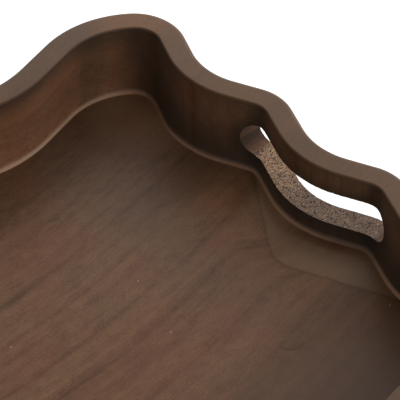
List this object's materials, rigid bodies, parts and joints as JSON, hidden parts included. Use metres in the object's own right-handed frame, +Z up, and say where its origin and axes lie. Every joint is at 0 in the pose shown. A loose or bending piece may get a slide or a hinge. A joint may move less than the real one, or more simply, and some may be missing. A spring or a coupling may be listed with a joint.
{
  "type": "serving tray",
  "caption": "Rectangular wooden serving tray with a wavy scalloped wall, a flat rim and a through hand slot in each end.",
  "frame": {"origin": "under the middle of the flat base, on the surface that the tray stands on", "axes": "+X along the length towards one hand slot, +Y across the width, +Z up out of the well"},
  "size_m": [0.4064, 0.3048, 0.055],
  "materials": {
    "wood_right_wall": "satin dark walnut stain",
    "wood_right_inner": "satin dark walnut stain",
    "wood_right_handle": "satin dark walnut stain",
    "wood_left_handle": "satin dark walnut stain",
    "wood_left_inner": "satin dark walnut stain",
    "wood_left_wall": "satin dark walnut stain"
  },
  "bodies": {
    "root": {"stave_right_wall": "wood_right_wall", "stave_right_inner": "wood_right_inner", "stave_right_handle": "wood_right_handle", "stave_left_handle": "wood_left_handle", "stave_left_inner": "wood_left_inner", "stave_left_wall": "wood_left_wall"}
  },
  "joints": []
}
